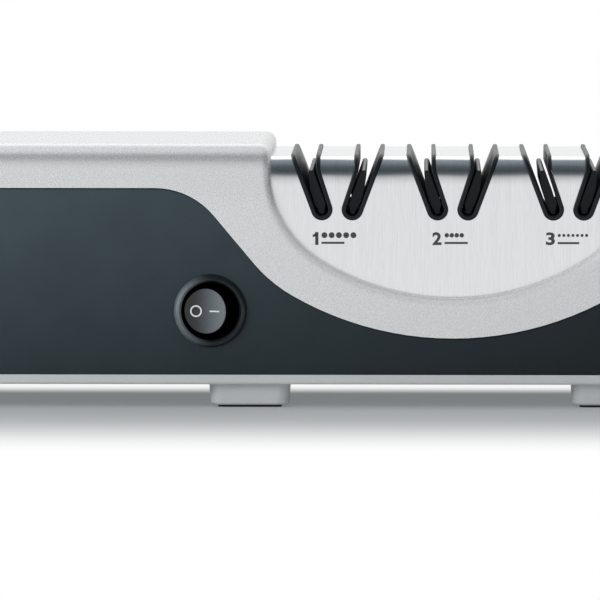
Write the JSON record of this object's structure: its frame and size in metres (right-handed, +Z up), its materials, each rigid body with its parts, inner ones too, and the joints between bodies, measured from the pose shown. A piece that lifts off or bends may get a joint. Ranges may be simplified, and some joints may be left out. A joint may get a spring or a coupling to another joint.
{
  "type": "electric knife sharpener",
  "caption": "Long, low electric knife sharpener: silver cover, dark body, brushed steel saddle with slanted knife slots, rocker switch and motor-driven discs.",
  "frame": {"origin": "on the resting surface, under the middle of the body", "axes": "+X runs from the motor end to the polishing end, -Y is the front and +Z is up"},
  "size_m": [0.3, 0.1109, 0.0928],
  "materials": {
    "cover_paint": "satin silver paint with a fine metallic grain",
    "body_plastic": "dark blue-grey, fine matt texture",
    "tray_plastic": "light grey, smooth satin",
    "steel_sheet": "brushed stainless sheet, lines upright",
    "liner_plastic": "glossy black",
    "leaf_plastic": "dark spring plastic, satin gloss",
    "pad_rubber": "dark matt rubber",
    "switch_plastic": "glossy black",
    "contact_brass": "bright brass",
    "shaft_steel": "ground steel",
    "screw_zinc": "bright zinc plate",
    "motor_iron": "stacked electrical sheet, dull grey",
    "copper_wire": "lacquered copper wire",
    "bracket_metal": "cast aluminium, matt",
    "bush_bronze": "sintered bronze",
    "fan_plastic": "off-white moulded plastic",
    "coarse_abrasive": "steel disc with coarse abrasive coat",
    "fine_abrasive": "steel disc with fine abrasive coat",
    "polish_abrasive": "flexible bonded abrasive, reddish brown",
    "lead_sleeve": "insulated wire"
  },
  "bodies": {
    "root": {"top_cover": "cover_paint", "body_shell": "body_plastic", "base_plate": "tray_plastic", "foot_pads": "pad_rubber", "steel_cover": "steel_sheet", "spindle_bracket_left": "bracket_metal", "spindle_bracket_right": "bracket_metal", "spindle_bearings": "bush_bronze", "motor_stator": "motor_iron", "motor_windings": "copper_wire", "motor_bracket_left": "bracket_metal", "motor_bracket_right": "bracket_metal", "motor_bearings": "bush_bronze", "motor_bolts": "screw_zinc", "motor_mounts": "pad_rubber", "motor_mount_screws": "screw_zinc", "bracket_screws": "screw_zinc", "housing_screws": "screw_zinc", "switch_body": "switch_plastic", "switch_terminals": "contact_brass", "switch_leads": "lead_sleeve", "cord_gland": "pad_rubber", "foot_front_left": "tray_plastic", "foot_front_middle": "tray_plastic", "foot_front_right": "tray_plastic", "foot_rear_left": "tray_plastic", "foot_rear_middle": "tray_plastic", "foot_rear_right": "tray_plastic", "slot_liner_coarse_left": "liner_plastic", "slot_liner_coarse_right": "liner_plastic", "slot_liner_fine_left": "liner_plastic", "slot_liner_fine_right": "liner_plastic", "slot_liner_polish_left": "liner_plastic", "slot_liner_polish_right": "liner_plastic"},
    "spindle": {"motor_shaft": "shaft_steel", "motor_rotor": "motor_iron", "cooling_fan": "fan_plastic", "shaft_coupling": "bracket_metal", "set_screws": "shaft_steel", "spindle_shaft": "shaft_steel", "shaft_clips": "shaft_steel", "drive_pins": "shaft_steel", "disc_spring_coarse": "shaft_steel", "disc_spring_fine": "shaft_steel", "disc_spring_polish": "shaft_steel"},
    "disc_coarse_left": {"coarse_disc_left": "coarse_abrasive"},
    "leaf_coarse_left": {"guide_spring_coarse_left": "leaf_plastic"},
    "disc_coarse_right": {"coarse_disc_right": "coarse_abrasive"},
    "leaf_coarse_right": {"guide_spring_coarse_right": "leaf_plastic"},
    "disc_fine_left": {"fine_disc_left": "fine_abrasive"},
    "leaf_fine_left": {"guide_spring_fine_left": "leaf_plastic"},
    "disc_fine_right": {"fine_disc_right": "fine_abrasive"},
    "leaf_fine_right": {"guide_spring_fine_right": "leaf_plastic"},
    "disc_polish_left": {"polish_disc_left": "polish_abrasive"},
    "leaf_polish_left": {"guide_spring_polish_left": "leaf_plastic"},
    "disc_polish_right": {"polish_disc_right": "polish_abrasive"},
    "leaf_polish_right": {"guide_spring_polish_right": "leaf_plastic"},
    "rocker": {"switch_rocker": "switch_plastic"}
  },
  "joints": [
    {"name": "spindle_spin", "type": "hinge", "parent": "root", "child": "spindle", "pos_m": [0, 0, 0.0445], "axis": [1, 0, 0], "continuous": true},
    {"name": "coarse_disc_left_slide", "type": "slide", "parent": "spindle", "child": "disc_coarse_left", "axis": [1, 0, 0], "range_m": [0, 0.001], "stiffness_N_per_m": 1500, "springref_m": -0.0005, "deforming": ["disc_spring_coarse"]},
    {"name": "coarse_disc_right_slide", "type": "slide", "parent": "spindle", "child": "disc_coarse_right", "axis": [-1, 0, 0], "range_m": [0, 0.001], "stiffness_N_per_m": 1500, "springref_m": -0.0005, "deforming": ["disc_spring_coarse"]},
    {"name": "fine_disc_left_slide", "type": "slide", "parent": "spindle", "child": "disc_fine_left", "axis": [1, 0, 0], "range_m": [0, 0.001], "stiffness_N_per_m": 1500, "springref_m": -0.0005, "deforming": ["disc_spring_fine"]},
    {"name": "fine_disc_right_slide", "type": "slide", "parent": "spindle", "child": "disc_fine_right", "axis": [-1, 0, 0], "range_m": [0, 0.001], "stiffness_N_per_m": 1500, "springref_m": -0.0005, "deforming": ["disc_spring_fine"]},
    {"name": "polish_disc_left_slide", "type": "slide", "parent": "spindle", "child": "disc_polish_left", "axis": [1, 0, 0], "range_m": [0, 0.001], "stiffness_N_per_m": 1500, "springref_m": -0.0005, "deforming": ["disc_spring_polish"]},
    {"name": "polish_disc_right_slide", "type": "slide", "parent": "spindle", "child": "disc_polish_right", "axis": [-1, 0, 0], "range_m": [0, 0.001], "stiffness_N_per_m": 1500, "springref_m": -0.0005, "deforming": ["disc_spring_polish"]},
    {"name": "coarse_guide_left_flex", "type": "hinge", "parent": "root", "child": "leaf_coarse_left", "pos_m": [0.0158, 0, 0.0687], "axis": [0, 1, 0], "range_deg": [0, 2.5], "stiffness_Nm_per_rad": 0.85, "springref_deg": -1.15},
    {"name": "coarse_guide_right_flex", "type": "hinge", "parent": "root", "child": "leaf_coarse_right", "pos_m": [0.0268, 0, 0.0687], "axis": [0, -1, 0], "range_deg": [0, 2.5], "stiffness_Nm_per_rad": 0.85, "springref_deg": -1.15},
    {"name": "fine_guide_left_flex", "type": "hinge", "parent": "root", "child": "leaf_fine_left", "pos_m": [0.0565, 0, 0.0687], "axis": [0, 1, 0], "range_deg": [0, 2.5], "stiffness_Nm_per_rad": 0.85, "springref_deg": -1.15},
    {"name": "fine_guide_right_flex", "type": "hinge", "parent": "root", "child": "leaf_fine_right", "pos_m": [0.0675, 0, 0.0687], "axis": [0, -1, 0], "range_deg": [0, 2.5], "stiffness_Nm_per_rad": 0.85, "springref_deg": -1.15},
    {"name": "polish_guide_left_flex", "type": "hinge", "parent": "root", "child": "leaf_polish_left", "pos_m": [0.0972, 0, 0.0687], "axis": [0, 1, 0], "range_deg": [0, 2.5], "stiffness_Nm_per_rad": 0.85, "springref_deg": -1.15},
    {"name": "polish_guide_right_flex", "type": "hinge", "parent": "root", "child": "leaf_polish_right", "pos_m": [0.1082, 0, 0.0687], "axis": [0, -1, 0], "range_deg": [0, 2.5], "stiffness_Nm_per_rad": 0.85, "springref_deg": -1.15},
    {"name": "rocker_tilt", "type": "hinge", "parent": "root", "child": "rocker", "pos_m": [-0.0231, -0.0458, 0.0343], "axis": [0, 0, 1], "range_deg": [0, 24]}
  ]
}
